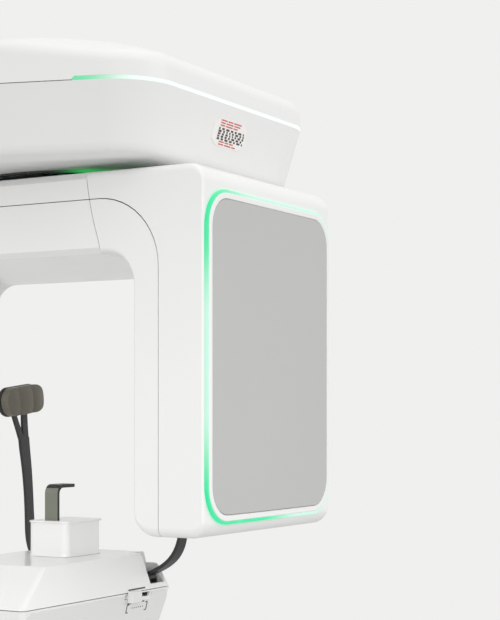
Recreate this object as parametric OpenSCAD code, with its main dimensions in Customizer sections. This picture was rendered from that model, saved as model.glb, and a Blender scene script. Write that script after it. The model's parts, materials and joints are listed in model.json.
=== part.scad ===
// Panoramic dental x-ray machine: lifting column, head, rotating C-arm and patient table.
// Millimetres, +Z up. The origin is on the floor at the column's centre.
// The patient stands on the +X side of the table and faces -X.

/* [Overall] */
// Height of the imaging level above the floor, at rest
level_z = 1415; // [1150:5:1700]
// Distance from the column's centre to the arm's turning axis
axis_reach = 800; // [720:5:980]
// Lift travel, each way from rest
lift_travel = 350; // [150:10:420]
// Travel of the shift stage, each way
stage_travel = 30; // [10:1:40]

/* [Base and column] */
// Width of the floor plate
base_w = 800; // [600:10:1000]
// Reach of the floor plate in front of the column's centre
base_front = 860; // [700:10:1100]
// Reach of the floor plate behind the column's centre
base_back = 200; // [150:10:260]
// Thickness of the floor plate
base_t = 15; // [10:1:20]
// Radius of the floor anchor holes
anchor_r = 7; // [5:0.5:9]
// Width of the column
column_w = 220; // [180:5:230]
// Depth of the column
column_d = 150; // [130:5:155]
// Wall of the column
column_wall = 8; // [5:1:12]
// Height of the column's top above the floor
column_top = 1560; // [1400:10:1570]
// Width of a guide rail
rail_w = 20; // [15:1:25]
// Depth of a guide rail
rail_d = 17; // [12:1:20]
// Distance of each guide rail from the column's middle
rail_x = 60; // [45:1:75]

/* [Carriage] */
// Width of the carriage cover
carriage_w = 280; // [260:5:340]
// Distance from the column's centre to the carriage's front face
carriage_front = 190; // [180:5:240]
// Length of the carriage cover, below the head
carriage_len = 1092; // [900:5:1150]
// Wall of every moulded cover
cover_wall = 4; // [3:0.5:5]
// Radius of the lift rod
rod_r = 22; // [16:1:28]

/* [Head] */
// Gap between the arm and the head
head_gap = 11; // [10:1:20]
// Height of the head
head_h = 176; // [140:1:200]
// Height of the light seam above the head's underside
seam_rise = 106; // [90:1:130]
// Height of the light strip
strip_h = 9; // [6:1:12]
// Half width of the head's broad middle
head_half = 330; // [300:5:390]
// Radius of the head's front corners
corner_r = 95; // [66:1:120]
// Distance from the turning axis to the head's front face
head_front = 287; // [260:1:340]

/* [Rotating arm] */
// Width of the rotating arm
arm_w = 405; // [340:5:480]
// Top of the arm above the imaging level
arm_top = 366; // [330:1:430]
// Underside of the arm's beam above the imaging level
arm_under = 242; // [220:1:250]
// Depth of the end blocks below the imaging level
block_drop = 180; // [150:1:190]
// Distance from the turning axis to the detector block's front
detector_face = 346; // [330:1:410]
// Distance from the turning axis to the detector block's inner face
detector_inner = 225; // [215:1:250]
// Distance from the turning axis to the generator block's inner face
generator_inner = 350; // [300:1:365]
// Distance from the turning axis to the generator block's outer face
generator_face = 540; // [500:1:560]
// Height of the long shell seam above the imaging level
shell_seam_z = 323.6; // [290:0.1:340]
// Distance of the upright shell seam from the block's outer face
shell_seam_in = 77; // [60:1:90]
// Radius of the shell seam's corner
shell_seam_r = 105; // [60:1:115]
// Width of the grey front panel with its trim
panel_w = 390; // [320:1:396]
// Height of the grey front panel with its trim
panel_h = 485; // [400:1:500]
// Corner radius of the front panel
panel_r = 54; // [30:1:70]

/* [Slew drive] */
// Radius of the spindle
spindle_r = 60; // [50:1:66]
// Radius of the large pulley
pulley_r = 90; // [75:1:100]
// Radius of the motor pulley
motor_pulley_r = 20; // [16:1:26]
// Distance between the two pulleys
pulley_pitch = 200; // [180:1:220]

/* [Patient table] */
// Half width of the table at its seam
table_half = 120; // [110:1:135]
// Length of the table from the turning axis towards the back of the head
table_nose = 330; // [280:1:380]
// Length of the table from the turning axis towards the patient
table_end = 69; // [62:1:90]
// Height of the deck below the imaging level
deck_drop = 227; // [215:1:240]
// Height of the table's seam below the imaging level
table_seam = 284; // [275:1:300]
// Height of the table's underside below the imaging level
table_drop = 400; // [390:1:440]
// Width of the support arm
support_w = 160; // [130:1:180]
// Travel of the chin rest, upwards
chin_travel = 40; // [20:1:50]
// Radius of the chin rest's post
post_r = 15; // [10:1:18]

/* [Hidden] */
$fn = 64;

white = [0.94, 0.94, 0.94];
pearl = [0.90, 0.90, 0.90];
panel_grey = [0.70, 0.70, 0.70];
dark = [0.16, 0.16, 0.16];
steel = [0.62, 0.63, 0.65];
cast = [0.55, 0.56, 0.58];
lit = [0.10, 0.95, 0.62];
pad_grey = [0.40, 0.39, 0.36];

far = 2000;          // reach of the cutting blocks
touch = 0.3;         // gap between a moving piece and its seat
fit = 0.05;          // radial running fit of a shaft
slide_gap = 0.2;     // side gap of a guide block on its rail

// Heights above the imaging level
head_z = arm_top + head_gap;
head_top_z = head_z + head_h;
seam_z = head_z + seam_rise;
rim_z = head_top_z - 19;
frame_top_z = seam_z - 16;
frame_bottom_z = head_z + 13;
stage_z = frame_top_z + touch;
stage_t = 8;
belt_z = stage_z + stage_t + touch + 3.4;
pulley_h = 20;
arm_plate_z = shell_seam_z + 1.4;
arm_plate_t = 12;
flange_t = 12;

// Carriage
spine_t = 12;
block_gap = 2;
block_d = rail_d + 12;
spine_back = column_d / 2 + block_d;
spine_front = spine_back + spine_t;
spine_w = 200;
carriage_z = level_z + head_z - carriage_len;
bridge_z = level_z + head_top_z - 32;
foot_t = 12;
tube_top = column_top - 460;
rod_bottom = base_t + foot_t + 60 + lift_travel;

// Arm, measured from the turning axis (towards the column is positive)
split_detector = -150;
split_generator = 230;
inner_r = 50;
edge_r = 30;
window_top = 165;
face_trim = 6;

// Table, measured from the turning axis
support_x = -50;
support_top = -table_seam - 16;
support_h = 85;
support_start = -60;
post_x = -67;
chin_top = -170;
bracket_x = -101;
bracket_t = 5.5;
bracket_w = 25;
temple_x = 32;
temple_y = 98;
temple_z = -268;
temple_w = 30;
temple_top_y = 150;
ear_gap = 1.2;
ear_t = 4;
ear_half = 6;
pad_z = 25;

// Base and column
anchor_x = base_w / 2 - 50;
anchor_front = base_front - 60;
anchor_back = base_back - 50;
foot_w = column_w + 80;
foot_d = column_d + 80;
bolt_x = foot_w / 2 - 20;
bolt_y = foot_d / 2 - 20;
base_cover_w = foot_w + 60;
base_cover_d = foot_d + 30;
base_cover_h = 80;
wall_hole_x = 80;
wall_hole_z = 50;
wall_mount_z = base_t + base_cover_h + 160;
inlet_x = -50;
switch_x = 60;
inlet_z = base_t + 42;

// Carriage controls
estop_y = -100;
estop_z = level_z - 200;

// Head
broad_r = 220;
light_back = -axis_reach - 185;
band_z = head_z + 11;
ring_r = spindle_r + 125;

// Arm frame and windows
frame_half = 110;
frame_end_d = -detector_inner - 65;
frame_end_g = generator_inner + 170;
hanger_z = -125;
window_half_w = 180;
exit_half_x = 45;
exit_half_z = 75;
tube_front = generator_inner + 42;

// Collimator
box_half = 60;
blade_t = 2;
blade_gap = 12;

// Table, keys, lever and grips
key_y = [260, 300];
key_z = support_top - support_h / 2;
key_r = 10;
deck_x = [-250, 46];
deck_half = 97;
table_r = 8;
lever_x = -50;
lever_travel = 40;
grip_r = 14;
grip_path = [[15, 70, -20], [60, 96, -26], [110, 108, -42], [128, 108, -80], [120, 104, -165]];

// ---------- shared shapes ----------

// A block given by its limits
module slab(x, y, z) {
  translate([x[0], y[0], z[0]]) cube([x[1] - x[0], y[1] - y[0], z[1] - z[0]]);
}

// A rounded rectangle given by its limits
module rounded(x, y, r) {
  translate([x[0] + r, y[0]]) square([x[1] - x[0] - 2 * r, y[1] - y[0]]);
  translate([x[0], y[0] + r]) square([x[1] - x[0], y[1] - y[0] - 2 * r]);
  for (cx = [x[0] + r, x[1] - r], cy = [y[0] + r, y[1] - r]) translate([cx, cy]) circle(r);
}

module rounded_slab(x, y, z, r) {
  translate([0, 0, z[0]]) linear_extrude(z[1] - z[0]) rounded(x, y, r);
}

module tube(outer, inner, h) {
  difference() {
    cylinder(r = outer, h = h);
    translate([0, 0, -1]) cylinder(r = inner, h = h + 2);
  }
}

// An outline drawn in Y and Z, extruded evenly along X
module side_extrude(w) {
  rotate([90, 0, 90]) linear_extrude(w, center = true) children();
}

// An outline drawn in X and Z, extruded evenly along Y
module front_extrude(w) {
  rotate([90, 0, 0]) linear_extrude(w, center = true) children();
}

module rod_x(r, w) {
  rotate([0, 90, 0]) cylinder(r = r, h = w, center = true);
}

module at_level() {
  translate([0, 0, level_z]) children();
}

module at_axis() {
  translate([0, -axis_reach, level_z]) children();
}

// ---------- base and column ----------

module base_plate() {
  color(white) difference() {
    rounded_slab([-base_w / 2, base_w / 2], [-base_front, base_back], [0, base_t], 60);
    for (x = [-anchor_x, anchor_x], y = [-anchor_front, anchor_back])
      translate([x, y, -1]) cylinder(r = anchor_r, h = base_t + 2);
    for (x = [-bolt_x, bolt_x], y = [-bolt_y, bolt_y])
      translate([x, y, 5]) cylinder(r = 5, h = base_t);
  }
}

module column_extrusion() {
  color(white) difference() {
    union() {
      slab([-foot_w / 2, foot_w / 2], [-foot_d / 2, foot_d / 2], [base_t, base_t + foot_t]);
      rounded_slab([-column_w / 2, column_w / 2], [-column_d / 2, column_d / 2],
                   [base_t, column_top], 12);
    }
    slab([-column_w / 2 + column_wall, column_w / 2 - column_wall],
         [-column_d / 2 + column_wall, column_d / 2 - column_wall],
         [base_t + foot_t, column_top - column_wall]);
    translate([0, 0, column_top - 20]) cylinder(r = rod_r + 6, h = 40);
    for (x = [-bolt_x, bolt_x], y = [-bolt_y, bolt_y])
      translate([x, y, base_t - 1]) cylinder(r = 6.5, h = foot_t + 2);
    for (x = [-wall_hole_x, wall_hole_x], z = [-wall_hole_z, wall_hole_z])
      translate([x, column_d / 2 - column_wall - 1, wall_mount_z + z])
        rotate([-90, 0, 0]) cylinder(r = 5.5, h = column_wall + 2);
  }
}

module column_bolts() {
  color(steel) for (x = [-bolt_x, bolt_x], y = [-bolt_y, bolt_y])
    translate([x, y, base_t + foot_t]) {
      cylinder(r = 11, h = 3);
      translate([0, 0, 3]) cylinder(r = 9, h = 9, $fn = 6);
      translate([0, 0, -foot_t - 9.7]) cylinder(r = 4.7, h = foot_t + 10);
    }
}

module column_rails() {
  color(steel) for (x = [-rail_x, rail_x])
    slab([x - rail_w / 2, x + rail_w / 2], [-column_d / 2 - rail_d, -column_d / 2],
         [base_t + 105, column_top - 10]);
}

module base_cover() {
  w = base_cover_w / 2;
  d = base_cover_d / 2;
  top = base_t + base_cover_h;
  color(pearl) difference() {
    rounded_slab([-w, w], [-d, d], [base_t, top], 24);
    rounded_slab([-w + cover_wall, w - cover_wall], [-d + cover_wall, d - cover_wall],
                 [base_t - 1, top - cover_wall], 20);
    slab([-column_w / 2 - 0.5, column_w / 2 + 0.5], [-column_d / 2 - 0.5, column_d / 2 + 0.5],
         [base_t, top + 1]);
    slab([inlet_x - 23.8, inlet_x + 23.8], [d - 10, d + 1], [inlet_z - 13.8, inlet_z + 13.8]);
    slab([switch_x - 14.5, switch_x + 14.5], [d - 10, d + 1], [inlet_z - 11, inlet_z + 11]);
  }
}

module mains_inlet() {
  d = base_cover_d / 2;
  color(dark) difference() {
    union() {
      slab([inlet_x - 23.5, inlet_x + 23.5], [d - 22, d], [inlet_z - 13.5, inlet_z + 13.5]);
      slab([inlet_x - 29, inlet_x + 29], [d, d + 2], [inlet_z - 16, inlet_z + 16]);
    }
    slab([inlet_x - 12.5, inlet_x + 12.5], [d - 15, d + 3], [inlet_z - 8.5, inlet_z + 8.5]);
  }
  color(steel) for (x = [-7, 0, 7])
    slab([inlet_x + x - 1, inlet_x + x + 1], [d - 15, d - 8],
         [inlet_z - 2 - abs(x) / 3.5 + 2, inlet_z + 4 - abs(x) / 3.5]);
}

module power_switch() {
  d = base_cover_d / 2;
  color(dark) union() {
    slab([switch_x - 14, switch_x + 14], [d - 5, d + 3], [inlet_z - 9.5, inlet_z + 9.5]);
    translate([switch_x, d - 2, inlet_z]) rod_x(2, 28.8);
  }
}

module lift_tube() {
  z = base_t + foot_t;
  color(cast) difference() {
    union() {
      translate([0, 0, z]) cylinder(r = 50, h = 160);
      translate([0, 0, z]) cylinder(r = rod_r + 12, h = tube_top - z);
    }
    translate([0, 0, z + 30]) cylinder(r = rod_r + touch, h = tube_top - z);
  }
}

// ---------- carriage ----------

module guide_blocks() {
  y0 = -column_d / 2 - block_gap;
  color(steel) for (x = [-rail_x, rail_x], z = [60, 450]) difference() {
    slab([x - rail_w / 2 - 12, x + rail_w / 2 + 12], [-spine_back, y0],
         [carriage_z + z, carriage_z + z + 80]);
    slab([x - rail_w / 2 - slide_gap, x + rail_w / 2 + slide_gap],
         [-column_d / 2 - rail_d - touch, y0 + 1], [carriage_z + z - 1, carriage_z + z + 81]);
  }
}

module carriage_spine() {
  top = bridge_z + 12;
  color(steel) union() {
    slab([-spine_w / 2, spine_w / 2], [-spine_front, -spine_back], [carriage_z + 30, top]);
    slab([-60, 60], [-spine_back - 1, rod_r + 16], [bridge_z, top]);
    for (x = [-60, 30], z = [90, 600])
      slab([x, x + 30], [-carriage_front + cover_wall, -spine_front + 1],
           [carriage_z + z, carriage_z + z + 30]);
  }
}

module lift_rod() {
  color(steel) translate([0, 0, rod_bottom]) cylinder(r = rod_r, h = bridge_z - rod_bottom);
}

module carriage_cover() {
  w = carriage_w / 2;
  c = cover_wall;
  back = column_d / 2 + 5 + c;
  top = level_z + head_z;
  color(white) difference() {
    rounded_slab([-w, w], [-carriage_front, back], [carriage_z, top], 24);
    rounded_slab([-w + c, w - c], [-carriage_front + c, back - c],
                 [carriage_z - 1, top + 1], 24 - c);
    slab([support_x - support_w / 2 - 0.5, support_x + support_w / 2 + 0.5],
         [-carriage_front - 1, -carriage_front + 30],
         [level_z + support_top - support_h - 0.5, level_z + support_top + 0.5]);
    translate([w, estop_y, estop_z]) rod_x(11 + touch, 20);
  }
}

module emergency_stop() {
  w = carriage_w / 2;
  color("firebrick") translate([w, estop_y, estop_z]) {
    translate([3.5, 0, 0]) rod_x(11, 21);
    translate([16, 0, 0]) rod_x(20, 10);
    translate([-cover_wall - touch - 1.5, 0, 0]) rod_x(14, 3);
  }
}

// ---------- head ----------

// The head's outline, drawn in by front and by back
module head_outline(front, back) {
  hull($fn = 96) {
    for (x = [-1, 1]) {
      translate([x * (head_half - 140), -axis_reach - head_front + corner_r])
        circle(corner_r - front);
      translate([x * (head_half - broad_r), -axis_reach - 20]) circle(broad_r - front);
      translate([x * 110, 50]) circle(60 - back);
    }
  }
}

module head_slice(front, back, z) {
  translate([0, 0, z[0]]) linear_extrude(z[1] - z[0]) head_outline(front, back);
}

// A stretch of the head between two drawn-in outlines
module head_loft(f0, b0, z0, f1, b1, z1) {
  hull() {
    head_slice(f0, b0, [z0, z0 + 0.1]);
    head_slice(f1, b1, [z1 - 0.1, z1]);
  }
}

module light_slot() {
  slab([-far, far], [-far, light_back], [seam_z - strip_h / 2, seam_z + strip_h / 2]);
}

module head_lower_cover() {
  c = cover_wall;
  color(white) at_level() difference() {
    union() {
      head_loft(60, 8, head_z, 30, 4, band_z);
      head_loft(30, 4, band_z, 0, 0, seam_z);
    }
    head_slice(60 + c, 8 + c, [head_z + c, seam_z + 1]);
    head_slice(30 + c, 4 + c, [band_z, seam_z + 1]);
    head_slice(13 + c, c + 2, [(band_z + seam_z) / 2, seam_z + 1]);
    light_slot();
    translate([0, -axis_reach, head_z - 1])
      cylinder(r = spindle_r + stage_travel + 40, h = c + 20);
    slab([-column_w / 2 - 20, column_w / 2 + 20], [-carriage_front + 6, column_d / 2 + 5],
         [head_z - 1, head_z + c + 1]);
  }
}

module head_upper_cover() {
  c = cover_wall;
  rim_in = 14;
  color(white) at_level() difference() {
    union() {
      head_slice(0, 0, [seam_z, rim_z]);
      head_loft(0, 0, rim_z, rim_in, rim_in, head_top_z);
    }
    head_slice(c, c, [seam_z - 1, rim_z - c]);
    head_slice(rim_in + c, rim_in + c, [seam_z - 1, head_top_z - c]);
    light_slot();
  }
}

module head_light_strip() {
  color(lit) at_level() intersection() {
    translate([0, 0, seam_z - strip_h / 2]) linear_extrude(strip_h) difference() {
      head_outline(0.4, 0.4);
      head_outline(18, 18);
    }
    light_slot();
  }
}

module head_frame() {
  z = [frame_bottom_z, frame_top_z];
  front = -axis_reach - 200;
  color(cast) at_level() union() {
    for (x = [-135, 105]) slab([x, x + 30], [front, -spine_front], z);
    slab([-135, 135], [front, front + 25], z);
    slab([-135, 135], [-spine_front - 370, -spine_front - 340], z);
    slab([-135, 135], [-spine_front - 30, -spine_front], z);
  }
}

module bearing_light_ring() {
  color(lit) translate([0, -axis_reach, level_z + head_z - 3]) tube(ring_r + 5, ring_r - 2, 3);
}

// ---------- shift stage and slew drive ----------

module stage_plate() {
  color(steel) at_axis() difference() {
    slab([-130, 130], [-130, pulley_pitch + 55], [stage_z, stage_z + stage_t]);
    translate([0, 0, stage_z - 1]) cylinder(r = spindle_r + 2, h = stage_t + 2);
    translate([0, pulley_pitch, stage_z - 1]) cylinder(r = 12, h = stage_t + 2);
  }
}

module bearing_ring() {
  color(steel) at_axis() translate([0, 0, frame_bottom_z + 15])
    tube(100, spindle_r + fit, stage_z - frame_bottom_z - 15);
}

module bearing_skirt() {
  color(dark) at_axis() {
    translate([0, 0, arm_top + 3]) tube(spindle_r + 105, spindle_r + 1, 3);
    translate([0, 0, arm_top + 6]) tube(spindle_r + 14, spindle_r + 6, frame_bottom_z + 9 - arm_top);
  }
}

module rotation_motor() {
  color(dark) at_axis() translate([0, pulley_pitch, frame_bottom_z + 5]) difference() {
    cylinder(r = 40, h = stage_z - frame_bottom_z - 5);
    translate([0, 0, 20]) cylinder(r = 7 + fit, h = 80);
  }
}

module motor_pulley() {
  color(steel) at_axis() translate([0, pulley_pitch, 0]) {
    translate([0, 0, frame_bottom_z + 30]) cylinder(r = 7, h = belt_z + 1 - frame_bottom_z - 30);
    translate([0, 0, belt_z]) cylinder(r = motor_pulley_r, h = pulley_h);
  }
}

module drive_belt() {
  g = 0.4;
  t = 3;
  color(dark) at_axis() translate([0, 0, belt_z + 2]) linear_extrude(pulley_h - 4) difference() {
    hull($fn = 96) {
      circle(pulley_r + g + t);
      translate([0, pulley_pitch]) circle(motor_pulley_r + g + t);
    }
    hull($fn = 96) {
      circle(pulley_r + g);
      translate([0, pulley_pitch]) circle(motor_pulley_r + g);
    }
  }
}

// ---------- rotating arm ----------

module spindle() {
  z = arm_plate_z + arm_plate_t;
  collar_z = stage_z + stage_t + touch;
  color(steel) at_axis() difference() {
    union() {
      translate([0, 0, z]) cylinder(r = spindle_r + 25, h = flange_t);
      translate([0, 0, z]) cylinder(r = spindle_r, h = belt_z - z);
      translate([0, 0, collar_z]) cylinder(r = spindle_r + 20, h = belt_z - collar_z);
    }
    translate([0, 0, z - 1]) cylinder(r = spindle_r - 12, h = belt_z - z + 2);
  }
}

module large_pulley() {
  color(cast) at_axis() translate([0, 0, belt_z]) tube(pulley_r, spindle_r - 12, pulley_h);
}

module arm_frame() {
  top = arm_plate_z + arm_plate_t;
  color(cast) at_axis() difference() {
    union() {
      slab([-frame_half, frame_half], [frame_end_d - 8, frame_end_g + 8], [arm_plate_z, top]);
      for (x = [-frame_half, frame_half - 8])
        slab([x, x + 8], [frame_end_d, frame_end_g], [arm_under + 15, top]);
      slab([-frame_half, frame_half], [frame_end_d - 8, frame_end_d], [hanger_z, top]);
      slab([-frame_half, frame_half], [frame_end_g, frame_end_g + 8], [hanger_z, top]);
      for (x = [-90, 90], y = [-100, 190])
        translate([x, y, top - 1]) cylinder(r = 8, h = arm_top - cover_wall - top + 1);
    }
    translate([0, 0, arm_plate_z - 1]) cylinder(r = spindle_r - 12, h = arm_plate_t + 2);
  }
}

// Side outline of the arm, drawn in by i
module arm_outline(i) {
  difference() {
    rounded([-detector_face + i, generator_face - i], [-block_drop + i, arm_top - i], 25 - i);
    rounded([-detector_inner - i, generator_inner + i], [-2 * block_drop, arm_under + i],
            inner_r + i);
  }
}

module arm_solid(i) {
  intersection() {
    side_extrude(arm_w - 2 * i) arm_outline(i);
    rounded_slab([-arm_w / 2 + i, arm_w / 2 - i], [-detector_face + i, generator_face - i],
                 [-2 * block_drop, 2 * arm_top], edge_r - i);
  }
}

module arm_shell() {
  difference() {
    arm_solid(0);
    arm_solid(cover_wall);
  }
}

// Everything inside the long C-shaped seam
module inside_seam() {
  side_extrude(arm_w + 40)
    rounded([-detector_face + shell_seam_in, generator_face - shell_seam_in],
            [-2 * block_drop, shell_seam_z], shell_seam_r);
}

module between(y0, y1) {
  slab([-far, far], [y0, y1], [-far, far]);
}

module spindle_hole() {
  translate([0, 0, arm_top - cover_wall - 1]) cylinder(r = spindle_r + 4, h = cover_wall + 2);
}

module beam_top_cover() {
  color(white) at_axis() difference() {
    intersection() {
      arm_shell();
      between(split_detector, split_generator);
    }
    inside_seam();
    spindle_hole();
  }
}

module beam_bottom_cover() {
  color(white) at_axis() intersection() {
    arm_shell();
    between(split_detector, split_generator);
    inside_seam();
  }
}

module panel_outline(grow) {
  middle = (arm_top - 16 - block_drop) / 2;
  rounded([-panel_w / 2 - grow, panel_w / 2 + grow],
          [middle - panel_h / 2 - grow, middle + panel_h / 2 + grow], panel_r + grow);
}

module detector_outer_shell() {
  color(white) at_axis() difference() {
    intersection() {
      arm_shell();
      between(-far, split_detector);
    }
    inside_seam();
  }
}

module detector_inner_shell() {
  color(white) at_axis() intersection() {
    arm_shell();
    between(-far, split_detector);
    inside_seam();
  }
}

module detector_window() {
  color(white) at_axis() translate([0, -detector_inner + 2.5, 0]) front_extrude(5)
    rounded([-window_half_w, window_half_w], [-block_drop + 8, window_top], 30);
}

module detector_light_ring() {
  color(lit) at_axis() translate([0, -detector_face - 1.5, 0]) front_extrude(3) difference() {
    panel_outline(1.5);
    panel_outline(-4);
  }
}

module detector_panel() {
  color(panel_grey) at_axis()
    translate([0, -detector_face - face_trim / 2 - 1.5, 0]) front_extrude(face_trim - 3)
      panel_outline(0);
}

module flat_panel_detector() {
  y = frame_end_d;
  color(dark) at_axis() slab([-80, 80], [y, y + 45], [-110, 150]);
}

module generator_outer_shell() {
  color(white) at_axis() difference() {
    intersection() {
      arm_shell();
      between(split_generator, far);
    }
    inside_seam();
  }
}

module generator_inner_shell() {
  color(white) at_axis() difference() {
    intersection() {
      arm_shell();
      between(split_generator, far);
      inside_seam();
    }
    slab([-exit_half_x, exit_half_x], [generator_inner - 1, generator_inner + cover_wall + 1],
         [-exit_half_z, exit_half_z]);
  }
}

module generator_window() {
  color(dark) at_axis() translate([0, generator_inner - 1.5, 0]) front_extrude(3)
    rounded([-exit_half_x - 15, exit_half_x + 15], [-exit_half_z - 15, exit_half_z + 15], 12);
}

module tube_head() {
  color(cast) at_axis() {
    slab([-95, 95], [tube_front, frame_end_g], [-110, 60]);
    translate([0, tube_front + 64, 60]) cylinder(r = 50, h = 70);
  }
}

// ---------- collimator ----------

module collimator_housing() {
  y0 = generator_inner + cover_wall + 6;
  color(dark) at_axis() difference() {
    slab([-box_half, box_half], [y0, tube_front], [-box_half - 20, box_half]);
    slab([-box_half + 4, box_half - 4], [y0 + 4, tube_front - 4], [-box_half - 16, box_half - 4]);
    slab([-20, 20], [y0 - 1, tube_front + 1], [-35, 25]);
  }
}

// Blades run against the front wall of the collimator box, in two layers
module blade(layer) {
  y0 = generator_inner + cover_wall + 10 + touch + layer * (blade_t + touch);
  color(steel) at_axis() translate([0, y0, 0]) children();
}

module slit_left() {
  blade(0) slab([-blade_gap - 30, -blade_gap], [0, blade_t], [-45, 40]);
}

module slit_right() {
  blade(0) slab([blade_gap, blade_gap + 30], [0, blade_t], [-45, 40]);
}

module slit_top() {
  blade(1) slab([-45, 45], [0, blade_t], [blade_gap, blade_gap + 30]);
}

module slit_bottom() {
  blade(1) slab([-45, 45], [0, blade_t], [-blade_gap - 38, -blade_gap - 8]);
}

// ---------- patient table ----------

module support_arm() {
  x = [support_x - support_w / 2, support_x + support_w / 2];
  z = [support_top - support_h, support_top];
  y1 = axis_reach - spine_front;
  color(white) at_axis() difference() {
    slab(x, [support_start, y1], z);
    slab([x[0] + 6, x[1] - 6], [support_start + 6, y1 - 12], [z[0] + 6, z[1] - 6]);
    translate([post_x, 0, z[1] - 10]) cylinder(r = post_r + 3, h = 20);
    for (y = key_y) translate([x[1], y, key_z]) rod_x(key_r + touch, 20);
  }
}

module key(y) {
  x = support_x + support_w / 2;
  color(panel_grey) at_axis() translate([x, y, key_z]) {
    translate([-1.5, 0, 0]) rod_x(key_r, 11);
    translate([-8.3, 0, 0]) rod_x(key_r + 3, 4);
  }
}

module lift_up_key() {
  key(key_y[0]);
}

module lift_down_key() {
  key(key_y[1]);
}

module table_loft(i, z0, z1, low) {
  hull($fn = 32) {
    rounded_slab([-table_nose + low + i, table_end - low - i],
                 [-table_half + low + i, table_half - low - i], [z0, z0 + 0.1], table_r);
    rounded_slab([-table_nose + i, table_end - i], [-table_half + i, table_half - i],
                 [z1 - 0.1, z1], table_r);
  }
}

module table_housing() {
  c = cover_wall;
  sx = [support_x - support_w / 2 - 0.5, support_x + support_w / 2 + 0.5];
  color(white) at_axis() difference() {
    table_loft(0, -table_drop, -table_seam, 28);
    table_loft(c, -table_drop + c, -table_seam + 1, 28);
    slab(sx, [table_half / 2, table_half + 10],
         [support_top - support_h - 0.5, support_top + 0.5]);
    slab([lever_x - 16, lever_x + lever_travel + 16], [-table_half - 5, -table_half + 10],
         [-table_seam - 10, -table_seam - 3]);
  }
}

module top_loft(i) {
  hull($fn = 32) {
    rounded_slab([-table_nose + i, table_end - i], [-table_half + i, table_half - i],
                 [-table_seam, -table_seam + 0.1], table_r);
    rounded_slab([deck_x[0] + i, deck_x[1] - i], [-deck_half + i, deck_half - i],
                 [-deck_drop - i - 0.1, -deck_drop - i], 6);
  }
}

module table_top_cover() {
  color(white) at_axis() difference() {
    top_loft(0);
    translate([0, 0, -0.1]) top_loft(cover_wall);
    translate([post_x, 0, -deck_drop - 20]) cylinder(r = post_r + 2, h = 30);
    for (s = [-1, 1]) slab([temple_x - temple_w / 2 - 6, temple_x + temple_w / 2 + 8],
                           s > 0 ? [80, 200] : [-200, -80], [-table_seam + 8, -deck_drop + 10]);
  }
}

module table_frame() {
  z = support_top;
  color(steel) at_axis() difference() {
    union() {
      rounded_slab([-250, 56], [-100, 100], [z, z + 6], 20);
      translate([post_x, 0, z]) tube(post_r + 9, post_r + fit, -deck_drop - 8 - z);
      for (s = [-1, 1], x = [-temple_w / 2 - ear_gap - ear_t, temple_w / 2 + ear_gap])
        slab([temple_x + x, temple_x + x + ear_t], [s * temple_y - ear_half, s * temple_y + ear_half],
             [z, temple_z + 7]);
    }
    translate([post_x, 0, z - 1]) cylinder(r = post_r + fit, h = 60);
    for (s = [-1, 1]) translate([temple_x, s * temple_y, temple_z]) rod_x(4 + fit, 60);
  }
}

module table_side_panel() {
  color(panel_grey) at_axis() difference() {
    intersection() {
      table_loft(-1.2, -table_drop, -table_seam, 28);
      translate([0, -table_half + 10, 0]) front_extrude(70)
        rounded([-table_nose + 8, table_end - 8], [-table_drop + 20, -table_seam - 4], 16);
      slab([-far, far], [-far, 0], [-far, far]);
    }
    table_loft(0, -table_drop, -table_seam, 28);
    translate([lever_x, -table_half, 0])
      slab([-20, lever_travel + 20], [-20, 20], [-table_seam - 16, far]);
  }
}

module laser_lever() {
  z = -table_seam - 6.5;
  color(white) at_axis() {
    slab([lever_x - 14, lever_x + 14], [-table_half - 12, -table_half - 3], [z - 9, z + 9]);
    slab([lever_x - 12, lever_x + 12], [-table_half - 3.5, -table_half + 8], [z - 3, z + 3]);
  }
}

module hand_grips() {
  color(dark) at_axis() for (s = [-1, 1], i = [0 : len(grip_path) - 2])
    hull($fn = 12) for (p = [grip_path[i], grip_path[i + 1]])
      translate([p[0], s * p[1], p[2] - table_drop]) sphere(grip_r);
  color(dark) at_axis() for (s = [-1, 1])
    translate([grip_path[0][0], s * grip_path[0][1], -table_drop - 8]) cylinder(r = 20, h = 8);
}

module cover_screws() {
  color(steel) at_axis() for (x = [-1, 1], y = [-300, 440])
    translate([x * 120, y, -block_drop - 1.2]) cylinder(r = 4, h = 1.2);
}

// ---------- chin rest and temple supports ----------

module chinrest_block() {
  color(white) at_axis() difference() {
    union() {
      rounded_slab([-112, -14], [-38, 38], [-deck_drop + touch, chin_top], 10);
      translate([post_x, 0, -deck_drop - 100]) cylinder(r = post_r, h = 101);
    }
    slab([bracket_x - touch, bracket_x + bracket_t + touch],
         [-bracket_w / 2 - touch, bracket_w / 2 + touch], [chin_top - 42, chin_top + 1]);
  }
}

module bite_bracket() {
  r = 15;
  tip_x = -54;
  tip_z = -112;
  color(dark) at_axis() front_extrude(bracket_w) difference() {
    union() {
      translate([bracket_x, chin_top - 41]) square([bracket_t, tip_z - r - chin_top + 41]);
      translate([bracket_x + r, tip_z - bracket_t]) square([tip_x - bracket_x - r, bracket_t]);
      intersection() {
        translate([bracket_x + r, tip_z - r]) difference() {
          circle(r);
          circle(r - bracket_t);
        }
        translate([bracket_x, tip_z - r]) square(r);
      }
    }
    translate([tip_x - 8, tip_z]) circle(2);
    translate([tip_x - 8, tip_z - bracket_t]) circle(1.6);
  }
}

// Right support as built on the +Y side; the left one is its mirror image
module temple_side(s) {
  at_axis() mirror([0, s > 0 ? 0 : 1, 0]) children();
}

module temple_bar(p, q, w0, w1) {
  hull($fn = 16) {
    translate(p) cube([w0, 6, 4], center = true);
    translate(q) cube([w1, 5, 4], center = true);
  }
}

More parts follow.
